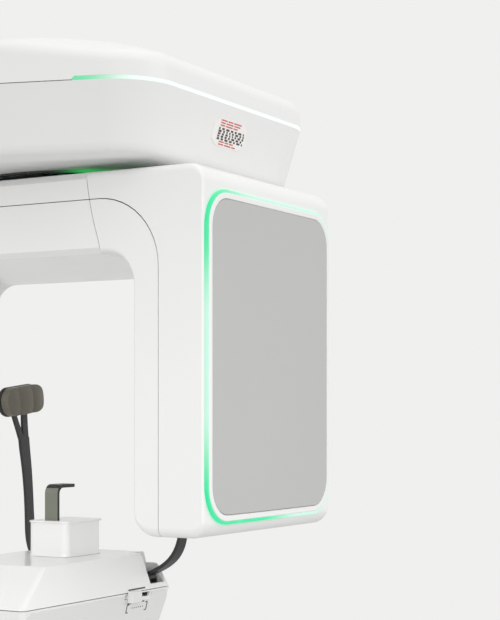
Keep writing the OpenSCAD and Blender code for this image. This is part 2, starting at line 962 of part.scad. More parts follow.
module temple_arm() {
  knee = [temple_x + 10, temple_y + 56, -205];
  crotch = [20, temple_top_y + 6, -55];
  color(dark) union() {
    difference() {
      union() {
        translate([temple_x, temple_y, temple_z]) rod_x(8, temple_w);
        temple_bar([temple_x, temple_y + 5, temple_z + 8], knee, temple_w, temple_w + 2);
      }
      translate([temple_x, temple_y, temple_z]) rod_x(3, 60);
    }
    temple_bar(knee, crotch, temple_w + 2, temple_w);
    temple_bar([27, temple_top_y + 6, -55], [19, temple_top_y, pad_z], 12, 12);
    temple_bar([11, temple_top_y + 6, -55], [-23, temple_top_y, pad_z], 12, 12);
    translate([temple_x, temple_y, temple_z]) rod_x(4, temple_w + 2 * ear_gap + 2 * ear_t);
  }
}

module temple_pad() {
  y = temple_top_y - 2.5;
  color(pad_grey) translate([-4, y, pad_z]) rotate([90, 0, 0]) {
    linear_extrude(6) rounded([-54, 54], [-27, 28], 24);
    translate([0, 0, 6]) linear_extrude(19) rounded([-52, 52], [-25, 26], 22);
  }
}

module temple_arm_left() {
  temple_side(1) temple_arm();
}

module temple_arm_right() {
  temple_side(-1) temple_arm();
}

module temple_pad_left() {
  temple_side(1) temple_pad();
}

module temple_pad_right() {
  temple_side(-1) temple_pad();
}

base_plate();
base_cover();
column_extrusion();
column_bolts();
column_rails();
lift_tube();
mains_inlet();
power_switch();
guide_blocks();
carriage_spine();
carriage_cover();
lift_rod();
head_frame();
head_upper_cover();
head_lower_cover();
head_light_strip();
bearing_light_ring();
support_arm();
table_frame();
table_housing();
table_top_cover();
table_side_panel();
hand_grips();
cover_screws();
stage_plate();
bearing_ring();
rotation_motor();
drive_belt();
bearing_skirt();
motor_pulley();
spindle();
large_pulley();
arm_frame();
beam_top_cover();
beam_bottom_cover();
detector_outer_shell();
detector_inner_shell();
detector_window();
detector_panel();
detector_light_ring();
flat_panel_detector();
generator_outer_shell();
generator_inner_shell();
generator_window();
tube_head();
collimator_housing();
slit_left();
slit_right();
slit_top();
slit_bottom();
emergency_stop();
chinrest_block();
bite_bracket();
temple_arm_left();
temple_arm_right();
temple_pad_left();
temple_pad_right();
laser_lever();
lift_up_key();
lift_down_key();
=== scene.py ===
# %% [markdown]
# # A panoramic dental x-ray machine
# A column stands on a floor plate and carries a broad head. A white C-shaped arm hangs from
# the head and turns round the patient, whose chin rests on a small table between the arm's
# two ends. Plain solids of every part are already there, each on the body that it moves with.
# This lesson gives each of them its real finish, and remakes the covers that show, with soft
# edges, seams, lights and pads.

# %% Load the plain solids
import json
import math
import random

import bmesh
import bpy
from mathutils import Matrix, Vector

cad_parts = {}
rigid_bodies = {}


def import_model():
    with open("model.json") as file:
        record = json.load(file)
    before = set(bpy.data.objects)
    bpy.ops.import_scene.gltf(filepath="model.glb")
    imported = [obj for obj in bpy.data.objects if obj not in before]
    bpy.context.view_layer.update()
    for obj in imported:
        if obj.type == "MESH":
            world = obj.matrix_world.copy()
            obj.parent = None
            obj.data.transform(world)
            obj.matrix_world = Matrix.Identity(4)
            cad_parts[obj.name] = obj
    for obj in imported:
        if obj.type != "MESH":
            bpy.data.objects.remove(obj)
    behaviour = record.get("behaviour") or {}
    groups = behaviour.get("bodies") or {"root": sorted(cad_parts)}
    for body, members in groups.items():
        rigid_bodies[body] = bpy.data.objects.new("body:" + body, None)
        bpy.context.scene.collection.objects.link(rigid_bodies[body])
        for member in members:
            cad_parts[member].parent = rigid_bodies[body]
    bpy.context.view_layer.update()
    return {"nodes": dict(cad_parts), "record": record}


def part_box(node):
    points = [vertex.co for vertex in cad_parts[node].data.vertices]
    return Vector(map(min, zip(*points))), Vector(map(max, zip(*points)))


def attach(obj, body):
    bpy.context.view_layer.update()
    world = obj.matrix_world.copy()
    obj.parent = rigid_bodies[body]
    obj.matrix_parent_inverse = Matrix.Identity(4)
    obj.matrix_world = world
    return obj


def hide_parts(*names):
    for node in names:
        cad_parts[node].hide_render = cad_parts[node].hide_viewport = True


for spare in list(bpy.data.objects):
    bpy.data.objects.remove(spare)
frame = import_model()
print("plain solids:", len(frame["nodes"]))

# %% [markdown]
# Drawings of such a machine are in millimetres, from the arm's turning axis at the height of
# the x-ray beam. Each mesh is drawn in that frame and moved into the machine at the end, so
# that its object can stay at the origin, unturned and unscaled. The two fixed points, the
# axis and the top of the arm, are read from the solids.

# %% The maker's frame
MM = 0.001
ARM_TOP = 366
spindle_low, spindle_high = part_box("spindle")
arm_top_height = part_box("detector_outer_shell")[1].z
axis = Vector(((spindle_low.x + spindle_high.x) / 2, (spindle_low.y + spindle_high.y) / 2,
               arm_top_height - ARM_TOP * MM))
to_machine = Matrix.Translation(axis) @ Matrix.Scale(MM, 4)
print("turning axis and beam height:", [round(number, 4) for number in axis])

# %% [markdown]
# ## Camera
# The machine is so large that only its front end fills the picture. A long lens at the height
# of the beam keeps upright edges upright. The picture is moved up with the lens's shift, the
# way an architect's camera does it, so that nothing leans.

# %% Camera
camera_data = bpy.data.cameras.new("camera")
camera_data.lens = 90
camera_data.sensor_width = 36
camera_data.shift_y = 0.169
camera_data.clip_end = 50
camera = bpy.data.objects.new("camera", camera_data)
camera.location = to_machine @ Vector((-2115.3, -1496.5, 0))
camera.rotation_euler = (math.radians(90), 0, math.radians(-60.7))
bpy.context.scene.collection.objects.link(camera)
bpy.context.scene.camera = camera
print("camera stands at", [round(number, 3) for number in camera.location])

# %% [markdown]
# ## Finishes
# Every finish is built from nodes, because a node pattern can be as fine as the real surface
# and never needs a picture. Colours are written as on a paint chart, in sRGB hex, and the
# renderer works in linear light, so one function turns them. A second function adds a node
# with its settings and its wires, which keeps each finish to a few lines.

# %% Colours and nodes
def linear(chart):
    """A paint chart's hex colour as linear light with full opacity."""
    parts = [int(chart[i:i + 2], 16) / 255 for i in (0, 2, 4)]
    lights = [p / 12.92 if p <= 0.04045 else ((p + 0.055) / 1.055) ** 2.4 for p in parts]
    return (*lights, 1)


def add(finish, kind, values=None, wires=None, **settings):
    """Adds one node to a finish, sets it up, and joins the wires that come in."""
    node = finish.node_tree.nodes.new("ShaderNode" + kind)
    for name, value in settings.items():
        setattr(node, name, value)
    for socket, value in (values or {}).items():
        node.inputs[socket].default_value = value
    for socket, source in (wires or {}).items():
        finish.node_tree.links.new(source, node.inputs[socket])
    return node


def new_finish(name, **shader):
    """A finish with its main shader's values set, and the pattern's coordinates ready."""
    finish = bpy.data.materials.new(name)
    finish.use_nodes = True
    surface = finish.node_tree.nodes["Principled BSDF"]
    for socket, value in shader.items():
        surface.inputs[socket.replace("_", " ")].default_value = value
    spot = add(finish, "TexCoord").outputs["Object"]
    return finish, surface, spot


def join(finish, source, surface, socket):
    finish.node_tree.links.new(source, surface.inputs[socket])


# %% [markdown]
# The tone of a moulded or painted part is never quite even, and its gloss even less so. Both
# come from soft noise, a hand's breadth across. Under them lies the skin of the surface: the
# orange peel of paint or the sparked grain of a mould, as fine bumps. The size of a noise
# pattern is one over its scale in metres, so a size in millimetres is turned into a scale.

# %% Tone, gloss and skin
def scale_for(size_mm):
    return 1 / (size_mm * MM)


def vary_tone(finish, surface, spot, chart_a, chart_b, size_mm):
    """Two close colours that drift into each other over a given size."""
    cloud = add(finish, "TexNoise", {"Scale": scale_for(size_mm), "Detail": 3.0},
                {"Vector": spot})
    tone = add(finish, "Mix", {6: linear(chart_a), 7: linear(chart_b)},
               {0: cloud.outputs["Fac"]}, data_type="RGBA")
    join(finish, tone.outputs[2], surface, "Base Color")


def vary_gloss(finish, surface, spot, low, high, size_mm):
    """Roughness that drifts between two values over a given size."""
    cloud = add(finish, "TexNoise", {"Scale": scale_for(size_mm), "Detail": 4.0},
                {"Vector": spot})
    spread = add(finish, "MapRange", {"From Min": 0.3, "From Max": 0.7, "To Min": low,
                                      "To Max": high}, {"Value": cloud.outputs["Fac"]})
    join(finish, spread.outputs["Result"], surface, "Roughness")


def skin(finish, surface, spot, size_mm, depth_mm, detail=2.0):
    """Fine bumps of a given size and depth."""
    grain = add(finish, "TexNoise", {"Scale": scale_for(size_mm), "Detail": detail},
                {"Vector": spot})
    bump = add(finish, "Bump", {"Strength": 1.0, "Distance": depth_mm * MM},
               {"Height": grain.outputs["Fac"]})
    join(finish, bump.outputs["Normal"], surface, "Normal")


# %% [markdown]
# ### White covers
# The big covers are ABS, formed over a mould and then sprayed with a gloss paint. The paint
# gives a bright, soft reflection under a thin clear coat, and a faint orange peel about 4 mm
# across. The small covers are moulded ABS left bare: a little greyer, duller, with a sparked
# grain. The real grain is 0.2 mm, and it is drawn at 1 mm so that it can be seen.

# %% White covers
gloss_paint, surface, spot = new_finish("gloss_painted_abs", IOR=1.5, Coat_Weight=0.35,
                                         Coat_Roughness=0.12)
vary_tone(gloss_paint, surface, spot, "F4F4F4", "F0F0F0", 160)
vary_gloss(gloss_paint, surface, spot, 0.30, 0.38, 60)
skin(gloss_paint, surface, spot, 4, 0.012)

bare_abs, surface, spot = new_finish("moulded_abs", IOR=1.53)
vary_tone(bare_abs, surface, spot, "ECECEA", "E6E6E4", 90)
vary_gloss(bare_abs, surface, spot, 0.42, 0.52, 30)
skin(bare_abs, surface, spot, 1, 0.015)

powder_coat, surface, spot = new_finish("powder_coated_steel", IOR=1.5)
vary_tone(powder_coat, surface, spot, "EDEDEA", "E7E7E5", 200)
vary_gloss(powder_coat, surface, spot, 0.40, 0.50, 25)
skin(powder_coat, surface, spot, 2, 0.03)
print("white finishes:", gloss_paint.name, bare_abs.name, powder_coat.name)

# %% [markdown]
# ### Grey front panel
# The panel in front of the detector is polycarbonate with a satin silver-grey paint. It has
# no pattern to the eye, only a calm, wide reflection. Fine flakes in the paint, drawn at
# 0.6 mm, keep it from looking like bare plastic. The side panel of the table is the same
# plastic in a paler grey.

# %% Grey panels
satin_grey, surface, spot = new_finish("satin_painted_polycarbonate", IOR=1.58,
                                        Coat_Weight=0.2, Coat_Roughness=0.35)
vary_tone(satin_grey, surface, spot, "BDBDBD", "BABABA", 220)
vary_gloss(satin_grey, surface, spot, 0.36, 0.44, 0.6)
skin(satin_grey, surface, spot, 0.6, 0.002)

pale_grey, surface, spot = new_finish("pale_painted_polycarbonate", IOR=1.58)
vary_tone(pale_grey, surface, spot, "E9E9E9", "E4E4E4", 90)
vary_gloss(pale_grey, surface, spot, 0.38, 0.48, 20)
skin(pale_grey, surface, spot, 1, 0.01)
print("grey finishes:", satin_grey.name, pale_grey.name)

# %% [markdown]
# ### Dark plastics and rubber
# The temple supports and handles are nylon filled with glass fibre, nearly black with a soft
# sheen. The temple cushions are polyurethane foam with a grey-brown skin. The toothed belt is
# black rubber, the keys are grey PBT, and the stop button is red ABS.

# %% Dark plastics and rubber
nylon, surface, spot = new_finish("glass_filled_nylon", IOR=1.53)
vary_tone(nylon, surface, spot, "1B1D1C", "26282A", 40)
vary_gloss(nylon, surface, spot, 0.32, 0.45, 8)
skin(nylon, surface, spot, 0.8, 0.01)

foam_skin, surface, spot = new_finish("skinned_polyurethane_foam", IOR=1.5, Sheen_Weight=0.1)
vary_tone(foam_skin, surface, spot, "5E5A50", "6B665B", 25)
vary_gloss(foam_skin, surface, spot, 0.45, 0.6, 10)
skin(foam_skin, surface, spot, 1.2, 0.05, 4.0)

belt_rubber, surface, spot = new_finish("belt_rubber", IOR=1.52)
vary_tone(belt_rubber, surface, spot, "1F2021", "2A2A2B", 15)
vary_gloss(belt_rubber, surface, spot, 0.6, 0.75, 5)
skin(belt_rubber, surface, spot, 0.8, 0.04)

red_abs, surface, spot = new_finish("red_abs", IOR=1.53, Coat_Weight=0.2)
vary_tone(red_abs, surface, spot, "B3211E", "A51C1A", 20)
vary_gloss(red_abs, surface, spot, 0.3, 0.38, 6)
skin(red_abs, surface, spot, 0.8, 0.008)

key_pbt, surface, spot = new_finish("key_pbt", IOR=1.55)
vary_tone(key_pbt, surface, spot, "9A9C9E", "929496", 10)
vary_gloss(key_pbt, surface, spot, 0.45, 0.55, 4)
skin(key_pbt, surface, spot, 0.6, 0.01)
print("dark and soft finishes:", nylon.name, foam_skin.name, belt_rubber.name)

# %% [markdown]
# ### Metals
# Rails, rods and bearings are ground steel: a bright metal whose gloss is drawn out in fine
# lines. The frames are cast aluminium, duller and grainy from the sand. Ground lines come
# from a noise that is squeezed across and stretched along, here 0.4 mm by 40 mm.

# %% Metals
steel, surface, spot = new_finish("ground_steel", Metallic=1.0)
vary_tone(steel, surface, spot, "B9BBBE", "AFB1B4", 60)
stretched = add(steel, "Mapping", {"Scale": (2500, 2500, 25)}, {"Vector": spot})
lines = add(steel, "TexNoise", {"Scale": 1.0, "Detail": 2.0}, {"Vector": stretched.outputs[0]})
spread = add(steel, "MapRange", {"To Min": 0.22, "To Max": 0.42}, {"Value": lines.outputs["Fac"]})
join(steel, spread.outputs["Result"], surface, "Roughness")
bump = add(steel, "Bump", {"Strength": 1.0, "Distance": 0.004 * MM},
           {"Height": lines.outputs["Fac"]})
join(steel, bump.outputs["Normal"], surface, "Normal")

cast_aluminium, surface, spot = new_finish("sand_cast_aluminium", Metallic=1.0)
vary_tone(cast_aluminium, surface, spot, "A4A6A8", "979A9C", 40)
vary_gloss(cast_aluminium, surface, spot, 0.45, 0.6, 12)
skin(cast_aluminium, surface, spot, 1.5, 0.08, 4.0)
print("metals:", steel.name, cast_aluminium.name)

# %% [markdown]
# ### Light guides
# A green light runs round the front panel and along the seam of the head. It is a bar of clear
# acrylic, lit from a few points behind it: near such a point the light is a full green, and
# further away the guide glows pale mint, almost white. The finish measures how far each spot
# is from the lamps and blends the two glows. The guide round the bearing fades to near black.

# %% Light guides
def light_guide(name, lamps, reach_mm, near_chart, far_chart, near_power, far_power):
    """A glowing guide that is deep green at its lamps and pale mint away from them."""
    finish, surface, spot = new_finish(name, IOR=1.49, Roughness=0.2)
    closest = None
    for lamp in lamps:
        gap = add(finish, "VectorMath", {1: to_machine @ Vector(lamp)}, {0: spot},
                  operation="DISTANCE").outputs["Value"]
        if closest is None:
            closest = gap
        else:
            closest = add(finish, "Math", None, {0: closest, 1: gap},
                          operation="MINIMUM").outputs["Value"]
    fade = add(finish, "MapRange", {"From Min": reach_mm[0] * MM, "From Max": reach_mm[1] * MM},
               {"Value": closest}, interpolation_type="SMOOTHSTEP").outputs["Result"]
    glow = add(finish, "Mix", {6: linear(near_chart), 7: linear(far_chart)}, {0: fade},
               data_type="RGBA")
    power = add(finish, "MapRange", {"To Min": near_power, "To Max": far_power},
                {"Value": fade})
    surface.inputs["Base Color"].default_value = linear("2E3532")
    join(finish, glow.outputs[2], surface, "Emission Color")
    join(finish, power.outputs["Result"], surface, "Emission Strength")
    return finish


ring_lamps = [(-200, -348, 285), (-200, -348, -140), (-150, -348, -160), (-60, -348, -160)]
ring_light = light_guide("ring_acrylic", ring_lamps, (20, 150), "22E8A0", "C6F5E1", 0.95, 0.95)
strip_lamps = [(-327, -192, 483)]
strip_light = light_guide("strip_acrylic", strip_lamps, (12, 110), "1FDB92", "F1FBF7", 0.95, 1.0)
under_lamps = [(-150, -110, 376), (-128, -136, 376), (-98, -158, 376), (150, 110, 376)]
under_light = light_guide("bearing_acrylic", under_lamps, (5, 70), "12B04C", "04180D",
                          0.9, 0.12)
print("light guides:", ring_light.name, strip_light.name, under_light.name)

# %% [markdown]
# ## Tools for covers
# Most covers are a flat outline with round corners that is pushed out into a block. The
# outline starts from a few corner points. Bevelling a single point rounds it off, and
# extruding the face gives it depth. Every finished mesh goes through one function that merges
# doubled points, turns the faces outwards, moves it into the machine and hangs it on the body
# that carries it.

# %% Outline, push and place
def outline(corners, plane):
    """A flat face from corners given as (first, second, radius), with the corners rounded."""
    across, up = {"XY": (0, 1), "XZ": (0, 2), "YZ": (1, 2)}[plane]
    bm = bmesh.new()
    points = []
    for first, second, radius in corners:
        spot = [0, 0, 0]
        spot[across] = first
        spot[up] = second
        points.append((bm.verts.new(spot), radius))
    bm.faces.new([point for point, radius in points])
    for point, radius in points:
        if radius:
            bmesh.ops.bevel(bm, geom=[point], offset=radius, offset_type="OFFSET",
                            segments=12, profile=0.5, affect="VERTICES", material=-1)
    return bm


def frame_of(low, high, radius):
    """The four corners of an upright or lying rectangle, all with one radius."""
    return [(low[0], low[1], radius), (high[0], low[1], radius),
            (high[0], high[1], radius), (low[0], high[1], radius)]


def push(bm, start, depth):
    """Moves a flat face to its start and pushes it out into a solid."""
    bmesh.ops.translate(bm, verts=bm.verts, vec=start)
    made = bmesh.ops.extrude_face_region(bm, geom=bm.faces[:])
    ends = [part for part in made["geom"] if isinstance(part, bmesh.types.BMVert)]
    bmesh.ops.translate(bm, verts=ends, vec=depth)
    bmesh.ops.recalc_face_normals(bm, faces=bm.faces)
    return bm


def soften(bm, width, segments=4, angle=40, wanted=None):
    """Rounds the edges that turn by more than an angle, or those of them that are wanted."""
    bm.normal_update()
    turn = math.radians(angle)
    edges = [edge for edge in bm.edges
             if len(edge.link_faces) == 2 and edge.calc_face_angle(0) > turn
             and (wanted is None or wanted((edge.verts[0].co + edge.verts[1].co) / 2))]
    bmesh.ops.bevel(bm, geom=edges, offset=width, offset_type="OFFSET", segments=segments,
                    profile=0.5, affect="EDGES", material=-1, clamp_overlap=True)
    return bm


def as_object(bm, name):
    """An object in the scene with this mesh."""
    mesh = bpy.data.meshes.new(name)
    bm.to_mesh(mesh)
    bm.free()
    thing = bpy.data.objects.new(name, mesh)
    bpy.context.scene.collection.objects.link(thing)
    return thing


def place(bm, name, finish, body, slot, *stands_for, sharp=35):
    """Turns a mesh drawn in millimetres into a finished piece on the body that carries it."""
    bmesh.ops.remove_doubles(bm, verts=bm.verts, dist=0.005)
    bmesh.ops.recalc_face_normals(bm, faces=bm.faces)
    bm.transform(to_machine)
    piece = as_object(bm, name)
    for face in piece.data.polygons:
        face.use_smooth = True
    piece.data.set_sharp_from_angle(angle=math.radians(sharp))
    piece.data.materials.append(finish)
    even = piece.modifiers.new("even shading", "WEIGHTED_NORMAL")
    even.keep_sharp = True
    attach(piece, body)
    if stands_for:
        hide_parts(*stands_for)
    size = [round((max(p.co[i] for p in piece.data.vertices)
                   - min(p.co[i] for p in piece.data.vertices)) / MM) for i in range(3)]
    print(piece.name, "on", body, "is", size, "mm with", len(piece.data.polygons), "faces")
    return piece


# %% [markdown]
# Seams, slots and holes are cut with Boolean modifiers. The two meshes become objects for a
# moment, the modifier does its work, and only the cut mesh is kept.

# %% Cutting
def worked(thing):
    """The mesh of an object after its modifiers; the object itself is thrown away."""
    seen = thing.evaluated_get(bpy.context.evaluated_depsgraph_get())
    bm = bmesh.new()
    bm.from_mesh(seen.to_mesh())
    seen.to_mesh_clear()
    mesh = thing.data
    bpy.data.objects.remove(thing)
    bpy.data.meshes.remove(mesh)
    return bm


def cut(bm, tool, how="DIFFERENCE"):
    """Cuts a tool out of a mesh, keeps what they share, or joins them."""
    thing = as_object(bm, "work")
    knife = as_object(tool, "knife")
    step = thing.modifiers.new("cut", "BOOLEAN")
    step.operation = how
    step.solver = "EXACT"
    step.object = knife
    result = worked(thing)
    worked(knife).free()
    return result


def gather(parts):
    """Puts several meshes into one."""
    whole = bmesh.new()
    for part in parts:
        mesh = bpy.data.meshes.new("part")
        part.to_mesh(mesh)
        whole.from_mesh(mesh)
        bpy.data.meshes.remove(mesh)
        part.free()
    return whole


def wrap(bm):
    """Stretches a skin over loose circles: their convex hull, with flat parts made whole."""
    made = bmesh.ops.convex_hull(bm, input=bm.verts[:], use_existing_faces=False)
    loose = [part for part in made["geom_interior"] + made["geom_unused"]
             if isinstance(part, bmesh.types.BMVert) and part.is_valid]
    bmesh.ops.delete(bm, geom=loose, context="VERTS")
    bmesh.ops.dissolve_limit(bm, angle_limit=math.radians(0.3), verts=bm.verts[:],
                             edges=bm.edges[:])
    return bm


def slice_at(bm, spot, facing):
    """Adds an edge loop where a plane meets the mesh."""
    bmesh.ops.bisect_plane(bm, geom=bm.verts[:] + bm.edges[:] + bm.faces[:], plane_co=spot,
                           plane_no=facing)


def block(low, high):
    """A plain block to cut with."""
    size = [high[i] - low[i] for i in range(3)]
    bm = bmesh.new()
    bmesh.ops.create_cube(bm, size=1)
    bmesh.ops.scale(bm, verts=bm.verts, vec=size)
    bmesh.ops.translate(bm, verts=bm.verts, vec=[(high[i] + low[i]) / 2 for i in range(3)])
    return bm


def drum(centre, radius, height, segments=64):
    """A round plug to cut with or to build on, standing on its centre point."""
    bm = bmesh.new()
    bmesh.ops.create_cone(bm, cap_ends=True, segments=segments, radius1=radius, radius2=radius,
                          depth=height)
    bmesh.ops.translate(bm, verts=bm.verts, vec=Vector(centre) + Vector((0, 0, height / 2)))
    return bm


# %% [markdown]
# ## Head covers
# Seen from above, the head is a long shield: broad over the patient, with big round front
# corners, and narrow at the column. Such an outline is what a rubber band makes when it is
# stretched round six discs. Circles are laid at several heights, drawn in a little more where
# the shell curves, and the convex hull wraps them all in one go. The top slopes down to the
# front and has a quarter-round rim. The walls lean in below the seam, and the underside
# curves in from their foot.

# %% Head outline
HEAD_BOTTOM = 377
HEAD_TOP = 553
HEAD_SEAM = 483
HEAD_WALL = 3.5
FRONT_DROP = 20
RIM = 26
BEARING_HOLE = 130
COLUMN_HOLE = ((-131, 616), (131, 881))
STRIP_END = -178
STRIP_LOW = HEAD_SEAM - 0.8
STRIP_HIGH = HEAD_SEAM + 5.4


def head_hull(levels):
    """Wraps circles at several heights: (height, drawn in front, at the back, front's drop)."""
    bm = bmesh.new()
    for height, front, back, *drop in levels:
        front_height = height - sum(drop)
        for x, y, z, radius in ((190, -192, front_height, 95 - front),
                                (110, -20, height, 220 - front), (110, 850, height, 60 - back)):
            for side in (-1, 1):
                spot = Matrix.Translation((side * x, y, z))
                bmesh.ops.create_circle(bm, segments=96, radius=radius, matrix=spot)
    return wrap(bm)


upper_levels = [(HEAD_SEAM + 0.6, 0, 0)]
for angle in [math.radians(degrees) for degrees in range(0, 91, 10)]:
    drawn_in = RIM * (1 - math.cos(angle))
    upper_levels.append((HEAD_TOP - RIM + RIM * math.sin(angle), drawn_in, drawn_in,
                         FRONT_DROP))
lower_levels = [(HEAD_BOTTOM, 62, 10), (HEAD_BOTTOM + 2, 45, 7), (HEAD_BOTTOM + 6, 33, 5),
                (HEAD_BOTTOM + 12, 27.5, 4), (HEAD_BOTTOM + 20, 25, 3), (HEAD_SEAM - 0.6, 0, 0)]
upper = head_hull(upper_levels)
lower = head_hull(lower_levels)
print("head hulls:", len(upper.verts), "and", len(lower.verts), "points")

# %% [markdown]
# The covers are hollow and open where they meet, so each is cut by a smaller copy of itself.
# The lower one is also open round the bearing and the column. A slot runs round the front
# for the light strip. Its ends are slanted, so the tool that cuts it is itself cut off by a
# slanted plane first.

# %% Head covers
def strip_ring(outer, inner, low, high, gap):
    """The light strip's ring, open at the back with slanted ends."""
    ring = cut(head_hull([(low, outer, outer), (high, outer, outer)]),
               head_hull([(low - 1, inner, inner), (high + 1, inner, inner)]))
    slant = Vector((0, 1, 1.1)).normalized()
    bmesh.ops.bisect_plane(ring, geom=ring.verts[:] + ring.edges[:] + ring.faces[:],
                           plane_co=(0, STRIP_END + gap, HEAD_SEAM), plane_no=slant,
                           clear_outer=True)
    rims = [edge for edge in ring.edges if edge.is_boundary]
    bmesh.ops.holes_fill(ring, edges=rims)
    return ring


upper = cut(upper, head_hull([(HEAD_SEAM - 1, HEAD_WALL, HEAD_WALL),
                              (HEAD_TOP - 22, HEAD_WALL, HEAD_WALL, FRONT_DROP),
                              (HEAD_TOP - HEAD_WALL, 22, 22, FRONT_DROP)]))
lower = cut(lower, head_hull([(HEAD_BOTTOM + HEAD_WALL, 56, 12), (HEAD_BOTTOM + 20, 29, 7),
                              (HEAD_SEAM + 1, HEAD_WALL, HEAD_WALL)]))
upper = cut(upper, strip_ring(-5, 13, STRIP_LOW, STRIP_HIGH, 1.5))
lower = cut(lower, strip_ring(-5, 13, STRIP_LOW, STRIP_HIGH, 1.5))
lower = cut(lower, drum((0, 0, HEAD_BOTTOM - 5), BEARING_HOLE, 40))
lower = cut(lower, block((*COLUMN_HOLE[0], HEAD_BOTTOM - 5), (*COLUMN_HOLE[1], HEAD_BOTTOM + 20)))
place(upper, "head_top_shell", gloss_paint, "carriage", "white_cover", "head_upper_cover")
place(lower, "head_bottom_shell", gloss_paint, "carriage", "white_cover", "head_lower_cover")
strip = strip_ring(0.4, 9, STRIP_LOW + 0.4, STRIP_HIGH - 0.4, 0)
soften(strip, 0.8, segments=2, wanted=lambda spot: spot.y < STRIP_END - 8)
place(strip, "head_strip", strip_light, "carriage", "light_guide", "head_light_strip")

# %% [markdown]
# ## The C-shaped arm
# From the side the arm is a letter C lying on its back: a beam with a block at either end. Its
# side outline is drawn with eight corners, and pushed out to the arm's width. The long edges
# do not have one radius. They are tight where they stand upright, wider on top and widest
# under the blocks. A Bevel modifier can follow a weight on each edge, so each edge gets its
# own radius from the way it runs, and the radii melt into each other round the corners.

# %% Arm body
ARM_HALF = 202.5
BLOCK_BOTTOM = -180
BEAM_UNDER = 242
FRONT = -346
INNER = -225
FAR_INNER = 350
FAR_FACE = 540
WIDEST = 22
UPRIGHT = 5


def arm_body(round_under, under_width):
    """The whole arm as one solid block with rounded long edges."""
    bm = outline([(FRONT, BLOCK_BOTTOM, 25), (FRONT, ARM_TOP, 27), (FAR_FACE, ARM_TOP, 40),
                  (FAR_FACE, BLOCK_BOTTOM, 40), (FAR_INNER, BLOCK_BOTTOM, 34),
                  (FAR_INNER, BEAM_UNDER, 50), (INNER, BEAM_UNDER, 50),
                  (INNER, BLOCK_BOTTOM, 34)], "YZ")
    push(bm, (-ARM_HALF, 0, 0), (2 * ARM_HALF, 0, 0))
    weights = bm.edges.layers.float.new("bevel_weight_edge")
    for edge in bm.edges:
        first, second = edge.verts[0].co, edge.verts[1].co
        if abs(first.x - second.x) > 1:
            continue
        run = (second - first).normalized()
        spot = (first + second) / 2
        level, upright = (15 if spot.z > 0 else 20), (UPRIGHT if spot.y < 0 else 20)
        if FRONT + 60 < spot.y < FAR_FACE - 60 and spot.z < ARM_TOP - 10:
            level, upright = (20 if spot.z < BLOCK_BOTTOM + 40 else under_width), UPRIGHT
        edge[weights] = (level * run.y ** 2 + upright * run.z ** 2) / WIDEST
    thing = as_object(bm, "arm")
    step = thing.modifiers.new("long edges", "BEVEL")
    step.limit_method = "WEIGHT"
    step.width = WIDEST
    step.segments = 6 if round_under else 1
    step.profile = 0.5
    solid = worked(thing)
    bmesh.ops.recalc_face_normals(solid, faces=solid.faces)
    return solid


arm = arm_body(True, 12)
beam = arm_body(False, 11)
print("arm body:", len(arm.faces), "faces; beam body:", len(beam.faces), "faces")

# %% [markdown]
# The real arm is six thin shells on an inner frame. Two seams part them: a long one shaped
# like the arm itself, on both sides, and an upright, slightly curved one across the beam at
# either end. The body is made hollow with a wall of 3 mm, and each shell is what is left of it
# inside its own region. A gap of 1.2 mm between two regions is the dark line of the seam.

# %% Arm shells
SEAM_GAP = 0.6
WALL = 3
ACROSS = ((-260, 0, 0), (520, 0, 0))


def hollow(bm):
    """Gives a closed mesh a wall, so that it is a shell with an inner side."""
    bmesh.ops.solidify(bm, geom=bm.faces[:], thickness=WALL)
    return bm


def inside_seam(grow):
    """The region inside the long seam, larger or smaller by half the gap."""
    bm = outline(frame_of((-269 - grow, -420), (463 + grow, 323.6 + grow), 105), "YZ")
    return push(bm, *ACROSS)


def beam_region(grow):
    """The region between the two upright seams, which bow away from the blocks."""
    bm = outline([(-138 - grow, 420, 0), (-140 - grow, 330, 60), (-171 - grow, 236, 60),
                  (-176 - grow, 180, 0), (256 + grow, 180, 0), (251 + grow, 236, 60),
                  (220 + grow, 330, 60), (218 + grow, 420, 0)], "YZ")
    return push(bm, *ACROSS)


arm = hollow(arm)
beam = hollow(beam)
blocks = cut(arm, beam_region(SEAM_GAP))
middle = cut(beam, beam_region(-SEAM_GAP), "INTERSECT")
block_outer = cut(blocks.copy(), inside_seam(SEAM_GAP))
block_inner = cut(blocks, inside_seam(-SEAM_GAP), "INTERSECT")
beam_outer = cut(middle.copy(), inside_seam(SEAM_GAP))
beam_inner = cut(middle, inside_seam(-SEAM_GAP), "INTERSECT")
beam_outer = cut(beam_outer, drum((0, 0, ARM_TOP - 20), 64, 40))


def half(bm, front):
    """Only the detector's end, or only the generator's end."""
    ends = ((-900, 0) if front else (0, 900))
    return cut(bm, block((-300, ends[0], -500), (300, ends[1], 500)), "INTERSECT")


place(half(block_outer.copy(), True), "detector_shell", gloss_paint, "rotor",
      "white_cover", "detector_outer_shell")
place(half(block_outer, False), "generator_shell", gloss_paint, "rotor",
      "white_cover", "generator_outer_shell")
place(half(block_inner.copy(), True), "detector_inner_cover", gloss_paint, "rotor",
      "white_cover", "detector_inner_shell")
generator_inner = half(block_inner, False)
generator_inner = cut(generator_inner, block((-45, FAR_INNER - 5, -75), (45, FAR_INNER + 10, 75)))
place(generator_inner, "generator_inner_cover", gloss_paint, "rotor",
      "white_cover", "generator_inner_shell")
place(beam_outer, "beam_top", gloss_paint, "rotor", "white_cover", "beam_top_cover")
place(beam_inner, "beam_underside", gloss_paint, "rotor", "white_cover",
      "beam_bottom_cover")

# %% [markdown]
# ## Front panel
# The end of the arm carries a grey panel in a white trim, and the light ring shows as a thin
# line all round the trim. The trim is a frame: a face is inset from its edge, the middle is
# taken away, and the rest is pushed out and its edges rounded. The panel has a slight crown,
# 2 mm higher in its middle, so that reflections sweep over it.

